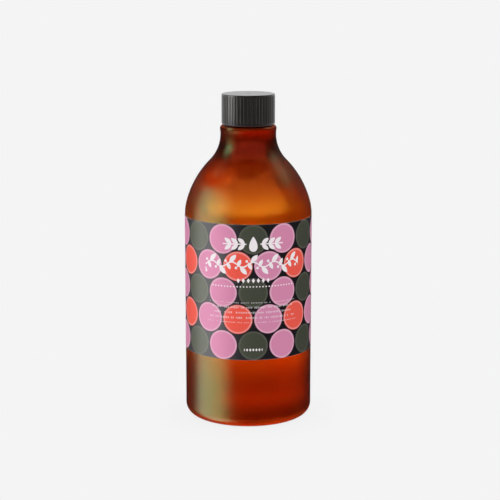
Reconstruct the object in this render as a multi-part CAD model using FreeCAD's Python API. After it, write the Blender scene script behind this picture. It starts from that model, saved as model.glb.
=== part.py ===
"""One litre oil bottle with a screw cap.

An amber blow-moulded bottle with a threaded neck, its oil, a wrap-round label, a pour
insert, a cap liner and a ribbed screw cap. Millimetres, +Z up, with the origin at the
centre of the base and the front of the label towards -Y. Every piece is a solid of its
own, written to parts/NAME.step.
"""
import FreeCAD, Part
import math
import os

Vector = FreeCAD.Vector
UP = Vector(0, 0, 1)
CENTRE = Vector(0, 0, 0)

# --- Driving dimensions: bottle ---------------------------------------------------------
body_radius = 44.0
heel_radius = 7.75
stand_ring_width = 2.5
base_push_up = 4.0
label_panel_top = 142.7
shoulder_edge_radius = 35.0
shoulder_edge_angle = 15.2
shoulder_slope_angle = 44.4
neck_curve_radius = 26.0
neck_waist_step = 4.2
collar_flare_radius = 17.0
collar_flare_height = 3.2
collar_edge_radius = 2.5
wall = 1.05
base_wall = 1.6

# --- Driving dimensions: neck finish and its thread -------------------------------------
finish_radius = 14.95
finish_wall = 2.25
finish_height = 17.8
lip_edge_radius = 0.5
thread_depth = 1.15
thread_pitch = 4.233
thread_root_width = 2.2
thread_crest_width = 1.0
thread_turns = 1.6
thread_below_lip = 2.2
thread_burial = 0.3

# --- Driving dimensions: oil and label --------------------------------------------------
oil_wall_gap = 0.05
oil_below_ledge = 1.6
label_bottom = 48.8
label_top_margin = 0.5
label_thickness = 0.1
label_glue_thickness = 0.03
label_seam_gap = 3.0

# --- Driving dimensions: pour insert ----------------------------------------------------
insert_flange_thickness = 0.9
insert_flange_inset = 0.45
insert_depth = 8.0
insert_wall = 1.1
insert_floor = 1.2
insert_land_count = 2
insert_land_height = 1.2
insert_land_spacing = 3.4
insert_bore_clearance = 0.15
pour_hole_radius = 4.5
pour_lip_height = 2.6
pour_lip_wall = 0.9

# --- Driving dimensions: liner and cap --------------------------------------------------
liner_thickness = 1.1
liner_cap_clearance = 0.3
cap_skirt_wall = 2.0
cap_top_thickness = 1.6
cap_thread_clearance = 0.3
cap_ledge_clearance = 0.5
cap_thread_turns = 1.35
cap_top_bevel = 0.6
cap_top_rim = 0.5
cap_bead_height = 1.0
rib_count = 48
rib_depth = 0.32
rib_crest_share = 0.5
rib_groove_share = 0.26

# --- Places that follow from them -------------------------------------------------------
edge_angle = math.radians(shoulder_edge_angle)
slope_angle = math.radians(shoulder_slope_angle)
flare_angle = math.asin(collar_flare_height / collar_flare_radius)

# The neck stands out from the finish all round, so the collar keeps a ledge under the cap.
neck_waist_radius = finish_radius + neck_waist_step

# The main shoulder arc takes up what the edge arc and the neck curve leave of the width.
shoulder_main_radius = (
    body_radius
    - neck_waist_radius
    - shoulder_edge_radius * (1 - math.cos(edge_angle))
    - neck_curve_radius * (1 - math.cos(slope_angle))
) / (math.cos(edge_angle) - math.cos(slope_angle))

shoulder_height = (
    shoulder_edge_radius * math.sin(edge_angle)
    + shoulder_main_radius * (math.sin(slope_angle) - math.sin(edge_angle))
    + neck_curve_radius * math.sin(slope_angle)
)
waist_z = label_panel_top + shoulder_height
flare_top_z = waist_z + collar_flare_height
ledge_z = flare_top_z + collar_edge_radius * (1 + math.sin(flare_angle))
lip_z = ledge_z + finish_height
ring_outer_radius = body_radius - heel_radius
ring_inner_radius = ring_outer_radius - stand_ring_width
flare_centre = neck_waist_radius + collar_flare_radius, waist_z
collar_centre = (
    flare_centre[0] - (collar_flare_radius + collar_edge_radius) * math.cos(flare_angle),
    flare_centre[1] + (collar_flare_radius + collar_edge_radius) * math.sin(flare_angle),
)
thread_radius = finish_radius + thread_depth
finish_bore_radius = finish_radius - finish_wall
seal_z = lip_z + insert_flange_thickness
cap_roof_z = seal_z + liner_thickness
cap_top_z = cap_roof_z + cap_top_thickness
cap_bottom_z = ledge_z + cap_ledge_clearance
cap_bore_radius = thread_radius + cap_thread_clearance
cap_radius = cap_bore_radius + cap_skirt_wall
thread_start_z = lip_z - thread_below_lip - thread_turns * thread_pitch
label_top = label_panel_top - label_top_margin


# --- Drawing helpers: every outline lies in the XZ half plane as (radius, height) -------
def line(start, end):
    return Part.LineSegment(Vector(start[0], 0, start[1]), Vector(end[0], 0, end[1])).toShape()


def polar(centre, radius, angle):
    return centre[0] + radius * math.cos(angle), centre[1] + radius * math.sin(angle)


def arc(centre, radius, start_angle, end_angle):
    """Arc about centre; angles in radians from +X towards +Z."""
    angles = (start_angle, (start_angle + end_angle) / 2, end_angle)
    places = [polar(centre, radius, angle) for angle in angles]
    return Part.Arc(*[Vector(x, 0, z) for x, z in places]).toShape()


def straight(*corners):
    """Straight edges through the corners."""
    return [line(start, end) for start, end in zip(corners, corners[1:])]


def turned(edges, angle=360):
    """Solid turned about the bottle's axis from the edges of a closed outline."""
    outline = Part.Wire(Part.__sortEdges__(edges))
    return Part.Face(outline).revolve(CENTRE, UP, angle)


def turned_box(inner, outer, bottom, top, angle=360):
    """Ring or disc with a rectangular section."""
    corners = (inner, bottom), (outer, bottom), (outer, top), (inner, top), (inner, bottom)
    return turned(straight(*corners), angle)


def threaded_ridge(root_radius, crest_radius, start_z, turns):
    """Right-handed helical ridge; its straight flanks run on a little into the wall."""
    depth = crest_radius - root_radius
    crest = thread_crest_width / 2
    root = thread_root_width / 2
    buried_share = thread_burial / abs(depth)
    buried_radius = root_radius - buried_share * depth
    buried = root + buried_share * (root - crest)
    corners = (buried_radius, -buried), (crest_radius, -crest), (crest_radius, crest), (buried_radius, buried)
    section = Part.Wire(straight(*corners, corners[0]))
    helix = Part.makeHelix(thread_pitch, turns * thread_pitch, root_radius)
    ridge = helix.makePipeShell([section], True, True)
    ridge.translate(Vector(0, 0, start_z))
    return ridge


# --- Bottle and oil ---------------------------------------------------------------------
def body_side(inset):
    """Heel, wall, shoulder, neck and collar, set in from the outside by inset."""
    heel_centre = ring_outer_radius, heel_radius
    edge_centre = body_radius - shoulder_edge_radius, label_panel_top
    step = shoulder_edge_radius - shoulder_main_radius
    main_centre = polar(edge_centre, step, edge_angle)
    neck_centre = neck_waist_radius + neck_curve_radius, waist_z
    wall_radius = body_radius - inset
    return [
        arc(heel_centre, heel_radius - inset, -math.pi / 2, 0),
        line((wall_radius, heel_radius), (wall_radius, label_panel_top)),
        arc(edge_centre, shoulder_edge_radius - inset, 0, edge_angle),
        arc(main_centre, shoulder_main_radius - inset, edge_angle, slope_angle),
        arc(neck_centre, neck_curve_radius + inset, math.pi + slope_angle, math.pi),
        arc(flare_centre, collar_flare_radius + inset, math.pi, math.pi - flare_angle),
        arc(collar_centre, collar_edge_radius - inset, -flare_angle, math.pi / 2),
    ]


def base_dome(inset):
    """Underside of the base from the axis to the stand ring, raised by inset."""
    dome_radius = (ring_inner_radius**2 + base_push_up**2) / (2 * base_push_up)
    rim_angle = math.acos(ring_inner_radius / dome_radius)
    centre = 0, base_push_up - dome_radius
    raised_radius = dome_radius + inset
    return arc(centre, raised_radius, math.pi / 2, rim_angle), polar(centre, raised_radius, rim_angle)


def make_bottle():
    outer_dome, outer_rim = base_dome(0)
    inner_dome, inner_rim = base_dome(base_wall)
    collar_x = collar_centre[0]
    lip_outer = finish_radius - lip_edge_radius
    lip_inner = finish_bore_radius + lip_edge_radius
    lip_edge_z = lip_z - lip_edge_radius
    outside = [outer_dome, line(outer_rim, (ring_outer_radius, 0))] + body_side(0)
    outside += straight((collar_x, ledge_z), (finish_radius, ledge_z), (finish_radius, lip_edge_z))
    lip = [
        arc((lip_outer, lip_edge_z), lip_edge_radius, 0, math.pi / 2),
        line((lip_outer, lip_z), (lip_inner, lip_z)),
        arc((lip_inner, lip_edge_z), lip_edge_radius, math.pi / 2, math.pi),
    ]
    ceiling_z = ledge_z - wall
    inside = straight(
        (finish_bore_radius, lip_edge_z), (finish_bore_radius, ceiling_z), (collar_x, ceiling_z)
    )
    inside += body_side(wall)
    inside += [line((ring_outer_radius, wall), inner_rim), inner_dome]
    axis = line((0, base_push_up), (0, base_push_up + base_wall))
    shell = turned(outside + lip + inside + [axis])
    thread = threaded_ridge(finish_radius, thread_radius, thread_start_z, thread_turns)
    return shell.fuse(thread)


def make_oil():
    inset = wall + oil_wall_gap
    floor = base_wall + oil_wall_gap
    dome, rim = base_dome(floor)
    ceiling_z = ledge_z - inset
    edges = [dome, line(rim, (ring_outer_radius, inset))] + body_side(inset)
    edges += straight((collar_centre[0], ceiling_z), (0, ceiling_z), (0, base_push_up + floor))
    full = turned(edges)
    return full.common(Part.makeCylinder(body_radius, ledge_z - oil_below_ledge))


# --- Label ------------------------------------------------------------------------------
def make_label():
    inner = body_radius + label_glue_thickness
    outer = inner + label_thickness
    seam_angle = math.degrees(label_seam_gap / outer)
    label = turned_box(inner, outer, label_bottom, label_top, 360 - seam_angle)
    label.rotate(CENTRE, UP, 90 + seam_angle / 2)
    return label


# --- Pour insert ------------------------------------------------------------------------
def make_pour_insert():
    skirt = finish_bore_radius - insert_bore_clearance
    floor_z = lip_z - insert_depth
    flange = turned_box(skirt - insert_wall, finish_radius - insert_flange_inset, lip_z, seal_z)
    tube = turned_box(skirt - insert_wall, skirt, floor_z, seal_z)
    floor = turned_box(pour_hole_radius, skirt, floor_z, floor_z + insert_floor)
    spout_top = floor_z + insert_floor + pour_lip_height
    spout = turned_box(pour_hole_radius, pour_hole_radius + pour_lip_wall, floor_z, spout_top)
    pieces = [tube, floor, spout]
    for index in range(insert_land_count):
        land_z = floor_z + insert_floor + index * insert_land_spacing
        pieces.append(
            turned_box(skirt - insert_wall, finish_bore_radius, land_z, land_z + insert_land_height)
        )
    return flange.fuse(pieces).removeSplitter()


# --- Liner and cap ----------------------------------------------------------------------
def make_cap_liner():
    radius = cap_bore_radius - liner_cap_clearance
    return Part.makeCylinder(radius, liner_thickness, Vector(0, 0, seal_z))


def rib_cutter():
    """Ring that leaves upright ribs on the side of the cap."""
    pitch = 2 * math.pi / rib_count
    groove_radius = cap_radius - rib_depth
    crest_half = pitch * rib_crest_share / 2
    groove_half = pitch * rib_groove_share / 2
    corners = []
    for index in range(rib_count):
        crest = index * pitch
        groove = crest + pitch / 2
        corners.append((cap_radius, crest - crest_half))
        corners.append((cap_radius, crest + crest_half))
        corners.append((groove_radius, groove - groove_half))
        corners.append((groove_radius, groove + groove_half))
    bottom = cap_bottom_z + cap_bead_height
    top = cap_top_z - cap_top_bevel - cap_top_rim
    outline = [Vector(*polar((0, 0), radius, angle), bottom) for radius, angle in corners]
    ribbed = Part.Face(Part.makePolygon(outline + outline[:1])).extrude(UP * (top - bottom))
    ring = turned_box(0, cap_radius + rib_depth, bottom, top)
    return ring.cut(ribbed)


def make_screw_cap():
    bevel_z = cap_top_z - cap_top_bevel
    blank = turned(
        straight(
            (cap_bore_radius, cap_bottom_z),
            (cap_radius, cap_bottom_z),
            (cap_radius, bevel_z),
            (cap_radius - cap_top_bevel, cap_top_z),
            (0, cap_top_z),
            (0, cap_roof_z),
            (cap_bore_radius, cap_roof_z),
            (cap_bore_radius, cap_bottom_z),
        )
    )
    crest_radius = finish_radius + cap_thread_clearance
    start_z = thread_start_z - thread_pitch / 2
    thread = threaded_ridge(cap_bore_radius, crest_radius, start_z, cap_thread_turns)
    return blank.cut(rib_cutter()).fuse(thread)


# --- Write every piece ------------------------------------------------------------------
MAKERS = {
    "bottle": make_bottle,
    "oil_fill": make_oil,
    "label": make_label,
    "pour_insert": make_pour_insert,
    "cap_liner": make_cap_liner,
    "screw_cap": make_screw_cap,
}

os.makedirs("parts", exist_ok=True)
for name, make in MAKERS.items():
    shape = make()
    solid = shape.Solids[0]
    print(f"{name}: {len(shape.Solids)} solid, valid {shape.isValid()}, {solid.Volume / 1000:.2f} cm3")
    shape.exportStep(f"parts/{name}.step")
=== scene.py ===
"""A one litre oil bottle with a screw cap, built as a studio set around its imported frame.

The file is laid out as an add-on and run as a script. Its operators build the amber bottle,
the oil, the wrap-round label, the pour insert, the cap liner, the screw cap and the studio.
Lengths are metres in the frame's own axes: +Z up, the front of the label towards -Y.
"""

import math
from typing import NamedTuple

import bmesh
import bpy
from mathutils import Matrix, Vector


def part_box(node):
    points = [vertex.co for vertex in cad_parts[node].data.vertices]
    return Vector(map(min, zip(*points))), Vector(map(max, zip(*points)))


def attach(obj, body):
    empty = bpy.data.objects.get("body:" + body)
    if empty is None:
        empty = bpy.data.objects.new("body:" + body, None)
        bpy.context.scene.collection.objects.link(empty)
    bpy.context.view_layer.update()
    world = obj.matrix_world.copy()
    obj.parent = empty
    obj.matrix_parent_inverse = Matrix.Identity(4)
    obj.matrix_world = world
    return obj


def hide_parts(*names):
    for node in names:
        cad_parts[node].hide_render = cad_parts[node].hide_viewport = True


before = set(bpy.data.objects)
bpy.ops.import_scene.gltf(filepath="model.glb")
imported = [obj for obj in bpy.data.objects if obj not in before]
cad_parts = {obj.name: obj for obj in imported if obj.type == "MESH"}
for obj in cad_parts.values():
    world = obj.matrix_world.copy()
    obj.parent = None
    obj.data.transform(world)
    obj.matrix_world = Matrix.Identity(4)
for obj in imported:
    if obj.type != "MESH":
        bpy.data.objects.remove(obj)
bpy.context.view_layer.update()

bl_info = {
    "name": "Screw Cap Oil Bottle",
    "version": (1, 0, 0),
    "blender": (4, 5, 0),
    "location": "View3D > Sidebar > Oil Bottle",
    "description": "Builds an amber oil bottle with its label and screw cap, and a studio",
    "category": "Object",
}

MM = 0.001
FULL_TURN = 2 * math.pi
SMOOTH_BELOW = math.radians(28)

# How finely the pieces are turned: vertices round the axis, and steps along an arc.
BODY_COUNT = 256
NECK_COUNT = 192
RIB_STEPS = 12
LONG_ARC_STEPS = 24
SHORT_ARC_STEPS = 8
CORNER_STEPS = 5
THREAD_ROW = 0.22 * MM


# --- Sizes and colours that a user would change -----------------------------------------
def lowest(node):
    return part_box(node)[0].z


def highest(node):
    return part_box(node)[1].z


def widest(node):
    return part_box(node)[1].x


def length(name, description, default):
    return bpy.props.FloatProperty(
        name=name, description=description, default=default, unit="LENGTH", precision=5
    )


def angle(name, description, degrees):
    return bpy.props.FloatProperty(
        name=name, description=description, default=math.radians(degrees), subtype="ANGLE"
    )


def number(name, description, default):
    return bpy.props.FloatProperty(name=name, description=description, default=default)


def count(name, description, default):
    return bpy.props.IntProperty(name=name, description=description, default=default, min=1)


def colour(name, description, red, green, blue):
    return bpy.props.FloatVectorProperty(
        name=name, description=description, default=(red, green, blue), subtype="COLOR", min=0, max=1
    )


class OilBottleBody(bpy.types.PropertyGroup):
    """Sizes of the blown bottle below its neck finish."""

    radius: length("Body radius", "Outside radius of the straight wall", widest("bottle"))
    heel_radius: length("Heel radius", "Rounding between the wall and the base", 7.75 * MM)
    ring_width: length("Stand ring width", "Width of the flat ring it stands on", 2.5 * MM)
    push_up: length("Base push-up", "Rise of the domed underside", 4 * MM)
    panel_top: length("Panel top", "Height where the shoulder starts", highest("label") + 0.5 * MM)
    edge_radius: length("Shoulder edge radius", "First arc of the shoulder", 35 * MM)
    edge_angle: angle("Shoulder edge angle", "Turn of the first arc", 15.2)
    slope_angle: angle("Shoulder slope", "Steepest lean of the shoulder", 44.4)
    neck_radius: length("Neck curve radius", "Hollow arc that runs up into the neck", 26 * MM)
    waist_radius: length("Waist radius", "Outside radius of the neck's waist", 19.15 * MM)
    flare_radius: length("Flare radius", "Arc that opens from the waist to the collar", 17 * MM)
    flare_height: length("Flare height", "Rise of the flare above the waist", 3.2 * MM)
    collar_radius: length("Collar rounding", "Rounded edge below the cap", 2.5 * MM)
    wall: length("Wall", "Wall thickness", 1.05 * MM)
    base_wall: length("Base wall", "Thickness of the domed base", 1.6 * MM)
    oil_overlap: length("Oil overlap", "How far the oil's skin lies in the wall", 0.1 * MM)
    meniscus: length("Meniscus", "Rise of the oil where it wets the wall", 0.9 * MM)


class OilBottleNeck(bpy.types.PropertyGroup):
    """Sizes of the neck finish, its thread and the pour insert."""

    lip: length("Lip height", "Height of the sealing lip", highest("bottle"))
    finish_height: length("Finish height", "From the ledge to the lip", 17.8 * MM)
    finish_radius: length("Finish radius", "Outside radius between the threads", 14.95 * MM)
    finish_wall: length("Finish wall", "Wall thickness of the finish", 2.25 * MM)
    edge_radius: length("Edge rounding", "Rounding of the lip and the ledge", 0.5 * MM)
    thread_depth: length("Thread depth", "Height of the thread over the finish", 1.15 * MM)
    thread_pitch: length("Thread pitch", "Rise of the thread in one turn", 4.233 * MM)
    thread_root: length("Thread root width", "Width of the ridge at its foot", 2.2 * MM)
    thread_crest: length("Thread crest width", "Width of the ridge at its top", 1 * MM)
    thread_turns: number("Thread turns", "Turns of the bottle's thread", 1.6)
    thread_below_lip: length("Thread below lip", "From the lip to the thread's end", 2.2 * MM)
    thread_taper: number("Thread taper", "Share of a turn in which an end runs out", 0.07)
    insert_wall: length("Insert wall", "Wall of the insert's skirt", 1.1 * MM)
    insert_floor: length("Insert floor", "Thickness of the insert's floor", 1.2 * MM)
    insert_clearance: length("Insert clearance", "Skirt to bore", 0.15 * MM)
    land_count: count("Sealing lands", "Rings that grip the bore", 2)
    land_height: length("Land height", "Height of one ring", 1.2 * MM)
    land_spacing: length("Land spacing", "From one ring to the next", 3.4 * MM)
    hole_radius: length("Pour hole radius", "Radius of the hole", 4.5 * MM)
    spout_height: length("Spout height", "Rise of the pour lip over the floor", 2.6 * MM)
    spout_wall: length("Spout wall", "Wall of the pour lip", 0.9 * MM)


class OilBottleCap(bpy.types.PropertyGroup):
    """Sizes of the screw cap and its liner."""

    radius: length("Cap radius", "Outside radius over the ribs", widest("screw_cap"))
    bottom: length("Cap bottom", "Height of the skirt's lower edge", lowest("screw_cap"))
    top: length("Cap top", "Height of the cap's top", highest("screw_cap"))
    roof: length("Cap roof", "Height of the inside of the cap's top", highest("cap_liner"))
    skirt_wall: length("Skirt wall", "Wall of the skirt between the threads", 2 * MM)
    edge_radius: length("Top edge radius", "Rounding of the top edge", 0.6 * MM)
    top_rim: length("Top rim", "Smooth band above the ribs", 0.5 * MM)
    bead: length("Bottom bead", "Smooth band below the ribs", 1 * MM)
    rib_count: count("Ribs", "Grip ribs round the cap", 48)
    rib_depth: length("Rib depth", "Depth of the grooves between the ribs", 0.32 * MM)
    rib_crest: number("Rib crest share", "Share of a rib's pitch that is full height", 0.5)
    rib_groove: number("Rib groove share", "Share of a rib's pitch that is the groove's floor", 0.26)
    rib_fade: length("Rib fade", "Height in which a groove runs out", 0.5 * MM)
    thread_gap: length("Thread gap", "Clearance of the thread from the finish", 0.3 * MM)
    thread_turns: number("Cap thread turns", "Turns of the cap's thread", 1.35)
    gate_radius: length("Gate mark radius", "Round mark in the middle of the top", 1.6 * MM)
    gate_depth: length("Gate mark depth", "Depth of that mark", 0.12 * MM)


class OilBottleLabel(bpy.types.PropertyGroup):
    """Sizes of the label and its print. Angles run from the front towards the right."""

    bottom: length("Label bottom", "Lower edge", lowest("label"))
    top: length("Label top", "Upper edge", highest("label"))
    radius: length("Label radius", "Outside radius of the label", widest("label"))
    bite: length("Label bite", "How far its back lies in the bottle's skin", 0.03 * MM)
    seam: length("Seam gap", "Gap between its ends at the back", 3 * MM)
    middle: angle("Middle of the print", "Where the print is centred", 4.5)
    dots_round: count("Dots round", "Dots in one row, all the way round", 13)
    row_pitch: length("Row pitch", "From one row of dots to the next", 18.3 * MM)
    dot_radius: length("Dot radius", "Radius of a dot", 10.1 * MM)
    dot_rim: length("Dot rim", "Width of the paler rim of a dot", 0.8 * MM)


class OilBottleFinish(bpy.types.PropertyGroup):
    """Colours and gloss, as scene linear values."""

    amber_neck: colour("Amber at the collar", "Plastic just below the cap", 0.58, 0.085, 0.012)
    amber_waist: colour("Amber at the waist", "Thick plastic of the neck's waist", 0.27, 0.015, 0.008)
    amber_shoulder: colour("Amber at the shoulder", "Upper half of the shoulder", 0.47, 0.085, 0.012)
    # The panel and foot colours are painted glow: brighter amber where light shines through just above
    # and below the label, and at the very bottom.
    amber_panel_glow: colour("Amber at the panel", "Thin plastic behind the label", 0.96, 0.36, 0.02)
    amber_foot_glow: colour("Amber at the foot", "Just below the label", 0.92, 0.25, 0.012)
    amber_heel: colour("Amber at the heel", "Above the heel", 0.53, 0.105, 0.012)
    amber_base: colour("Amber at the base", "Thick plastic of the base", 0.45, 0.08, 0.012)
    oil: colour("Oil", "Clear golden oil", 0.97, 0.86, 0.55)
    ground: colour("Label ground", "Printed ground between the dots", 0.008, 0.006, 0.009)
    pink: colour("Pink dots", "Pink ink", 0.60, 0.21, 0.36)
    red: colour("Red dots", "Red ink", 0.78, 0.075, 0.045)
    green: colour("Green dots", "Dark olive ink", 0.050, 0.056, 0.035)
    ink: colour("White ink", "Ornament", 0.80, 0.74, 0.76)
    label_back: colour("Label back", "Uncoated back of the label", 0.88, 0.84, 0.76)
    cap: colour("Cap", "Black moulded plastic", 0.011, 0.0078, 0.0072)
    insert: colour("Insert", "Milky soft plastic", 0.80, 0.80, 0.77)
    liner: colour("Liner", "Foam", 0.83, 0.83, 0.80)
    amber_gleam: colour("Amber gleam", "Tint of the light mirrored in the amber", 0.62, 1, 0.31)
    bottle_gloss: number("Bottle roughness", "Roughness of the amber plastic", 0.33)


class OilBottleStudio(bpy.types.PropertyGroup):
    """Light and camera. Light angles run from the camera's side towards the right."""

    floor_size: length("Floor size", "Side of the pale floor", 30)
    floor_colour: colour("Floor colour", "Pale floor and surroundings", 0.905, 0.905, 0.905)
    contact_shade: number("Contact shade", "Brightness of the floor right at the bottle", 0.93)
    contact_reach: length("Contact reach", "How far the contact shade spreads", 0.03)
    fill_light: number("Fill light", "Even light that matt surfaces get from all round", 1.0)
    room: number("Room light", "Dim light from everywhere", 0.03)
    left_light: number("Left light", "Tall soft box on the left", 6.3)
    edge_light: number("Edge light", "High strips left and right", 1.6)
    rear_light: number("Rear light", "Dim wall behind, above the floor", 0.1)
    inner_light: number("Inner light", "Light that falls into the bottle from the front", 12.5)
    side_light: number("Side light", "Light that falls in from the sides and behind", 2.0)
    back_light: number("Back light", "Lit panel low behind the bottle", 1.6)
    flag_distance: length("Flag distance", "From the axis to the flag beside the cap", 0.062)
    flag_bottom: length("Flag bottom", "Lower edge of the flag", 0.181)
    flag_slot: length("Flag slot", "Lower end of the slot that lights the cap", 0.203)
    flag_top: length("Flag top", "Upper edge of the flag", 0.24)
    camera_distance: length("Camera distance", "In front of the bottle's axis", 1.0702)
    camera_height: length("Camera height", "Above the floor", 0.3257)
    camera_side: length("Camera side", "To the right of the axis", 0.0012)
    aim_height: length("Aim height", "Height of the point it looks at", 0.1165)
    lens: number("Lens", "Focal length in millimetres", 112.39)


class OilBottleSettings(bpy.types.PropertyGroup):
    """Everything that can be set, by piece."""

    body: bpy.props.PointerProperty(type=OilBottleBody, name="Body")
    neck: bpy.props.PointerProperty(type=OilBottleNeck, name="Neck")
    cap: bpy.props.PointerProperty(type=OilBottleCap, name="Cap")
    label: bpy.props.PointerProperty(type=OilBottleLabel, name="Label")
    finish: bpy.props.PointerProperty(type=OilBottleFinish, name="Finish")
    studio: bpy.props.PointerProperty(type=OilBottleStudio, name="Studio")


# --- Outlines: points are (radius, height) ----------------------------------------------
class Ring(NamedTuple):
    """One ring of a turned piece; relief gives what stands proud of it at an angle."""

    radius: float
    height: float
    relief: object = None
    count: int = 0


def polar(centre, radius, turn):
    return Vector((centre[0] + radius * math.cos(turn), centre[1] + radius * math.sin(turn)))


def arc(centre, radius, start, end, steps):
    """Points along an arc; angles run from outwards towards up."""
    turns = (start + (end - start) * step / steps for step in range(steps + 1))
    return [polar(centre, radius, turn) for turn in turns]


def rounded(corners, steps=CORNER_STEPS):
    """Points of a path whose corners are (radius, height, rounding)."""
    points = []
    for index, (across, up, rounding) in enumerate(corners):
        corner = Vector((across, up))
        if not rounding:
            points.append(corner)
            continue
        before = (Vector(corners[index - 1][:2]) - corner).normalized()
        after = (Vector(corners[index + 1][:2]) - corner).normalized()
        half = before.angle(after) / 2
        centre = corner + (before + after).normalized() * rounding / math.sin(half)
        reach = rounding / math.tan(half)
        start = corner + before * reach - centre
        end = corner + after * reach - centre
        first = math.atan2(start.y, start.x)
        swing = (math.atan2(end.y, end.x) - first + math.pi) % FULL_TURN - math.pi
        points += arc(centre, rounding, first, first + swing, steps)
    return points


def rings(points, count=0):
    return [Ring(max(across, 0), up, None, count) for across, up in points]


def rows(start, end, spacing):
    """Evenly spaced values from start to end, both included."""
    steps = max(1, round(abs(end - start) / spacing))
    return [start + (end - start) * step / steps for step in range(steps + 1)]


def thread_relief(neck, start, turns, height, depth):
    """What a helical ridge adds to the radius of the ring at height; its ends run out softly."""

    def relief(turn):
        most = 0
        for lap in range(math.ceil(turns) + 1):
            along = (turn % FULL_TURN) / FULL_TURN + lap
            off = abs(height - start - along * neck.thread_pitch)
            flank = (neck.thread_root / 2 - off) / ((neck.thread_root - neck.thread_crest) / 2)
            runout = min(along, turns - along) / neck.thread_taper
            most = max(most, min(1, flank) * min(1, max(0, runout)))
        return depth * ease(most)

    return relief


def ease(share):
    """Smooth step from 0 to 1."""
    share = min(1, max(0, share))
    return share * share * (3 - 2 * share)


# --- Turned meshes ----------------------------------------------------------------------
def ring_vertices(mesh, ring, count):
    if ring.radius < 1e-7:
        return [mesh.verts.new((0, 0, ring.height))]
    made = []
    for index in range(count):
        turn = FULL_TURN * index / count
        radius = ring.radius + (ring.relief(turn) if ring.relief else 0)
        made.append(mesh.verts.new((radius * math.cos(turn), radius * math.sin(turn), ring.height)))
    return made


def join_rings(mesh, first, second):
    """Faces between two rings, where one may be a point or have a whole multiple of vertices."""
    few, many = sorted((first, second), key=len)
    share = len(many) // len(few)
    for index in range(len(many) if len(few) == 1 else len(few)):
        if len(few) == 1:
            mesh.faces.new((few[0], many[index], many[(index + 1) % len(many)]))
            continue
        far = [many[(index * share + step) % len(many)] for step in range(share, -1, -1)]
        mesh.faces.new((few[index], few[(index + 1) % len(few)], *far))


def finished_piece(name, mesh, materials):
    """Turns a bmesh into an object with smooth faces and crisp corners."""
    bmesh.ops.remove_doubles(mesh, verts=mesh.verts, dist=1e-7)
    bmesh.ops.recalc_face_normals(mesh, faces=mesh.faces)
    data = bpy.data.meshes.new(name)
    mesh.to_mesh(data)
    mesh.free()
    data.shade_smooth()
    data.set_sharp_from_angle(angle=SMOOTH_BELOW)
    for material in materials:
        data.materials.append(material)
    piece = bpy.data.objects.new(name, data)
    bpy.context.scene.collection.objects.link(piece)
    return piece


def turned_piece(name, outline, count, material, closed=False):
    """Piece turned from rings, from axis to axis, or closed into a loop."""
    mesh = bmesh.new()
    loops = [ring_vertices(mesh, ring, ring.count or count) for ring in outline]
    if closed:
        loops.append(loops[0])
    for first, second in zip(loops, loops[1:]):
        join_rings(mesh, first, second)
    return finished_piece(name, mesh, [material])


def stands_for(piece, node, body):
    """Puts a piece in a node's place: it rides on the node's body, and the node is hidden."""
    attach(piece, body)
    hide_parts(node)


# --- Bottle outline ---------------------------------------------------------------------
def body_side(body, inset):
    """Heel, wall, shoulder, neck, flare and collar, set in from the outside by inset."""
    heel = body.radius - body.heel_radius, body.heel_radius
    edge = body.radius - body.edge_radius, body.panel_top
    spare = (
        body.radius
        - body.waist_radius
        - body.edge_radius * (1 - math.cos(body.edge_angle))
        - body.neck_radius * (1 - math.cos(body.slope_angle))
    )
    main_radius = spare / (math.cos(body.edge_angle) - math.cos(body.slope_angle))
    main = polar(edge, body.edge_radius - main_radius, body.edge_angle)
    slope_end = polar(main, main_radius, body.slope_angle)
    neck = polar(slope_end, body.neck_radius, body.slope_angle)
    flare_angle = math.asin(body.flare_height / body.flare_radius)
    flare = Vector((body.waist_radius + body.flare_radius, neck.y))
    collar = polar(flare, body.flare_radius + body.collar_radius, math.pi - flare_angle)
    points = arc(heel, body.heel_radius - inset, -math.pi / 2, 0, SHORT_ARC_STEPS * 2)
    points += arc(edge, body.edge_radius - inset, 0, body.edge_angle, SHORT_ARC_STEPS)
    points += arc(main, main_radius - inset, body.edge_angle, body.slope_angle, LONG_ARC_STEPS)[1:]
    hollow = body.neck_radius + inset
    points += arc(neck, hollow, math.pi + body.slope_angle, math.pi, LONG_ARC_STEPS)[1:]
    opening = body.flare_radius + inset
    points += arc(flare, opening, math.pi, math.pi - flare_angle, SHORT_ARC_STEPS)[1:]
    rounding = body.collar_radius - inset
    points += arc(collar, rounding, -flare_angle, math.pi / 2, SHORT_ARC_STEPS * 2)[1:]
    return points


def base_dome(body, inset):
    """Domed underside from the axis out to the stand ring, raised by inset."""
    ring = body.radius - body.heel_radius - body.ring_width
    dome_radius = (ring**2 + body.push_up**2) / (2 * body.push_up)
    centre = 0, body.push_up - dome_radius
    rim = math.acos(ring / dome_radius)
    return arc(centre, dome_radius + inset, math.pi / 2, rim, LONG_ARC_STEPS)


def thread_start(neck):
    """Height of the lower end of the bottle's thread."""
    return neck.lip - neck.thread_below_lip - neck.thread_turns * neck.thread_pitch


def finish_rings(neck, ledge):
    """Outside of the threaded finish, row by row."""
    made = []
    for height in rows(ledge + neck.edge_radius, neck.lip - neck.edge_radius, THREAD_ROW):
        relief = thread_relief(neck, thread_start(neck), neck.thread_turns, height, neck.thread_depth)
        made.append(Ring(neck.finish_radius, height, relief))
    return made


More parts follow.
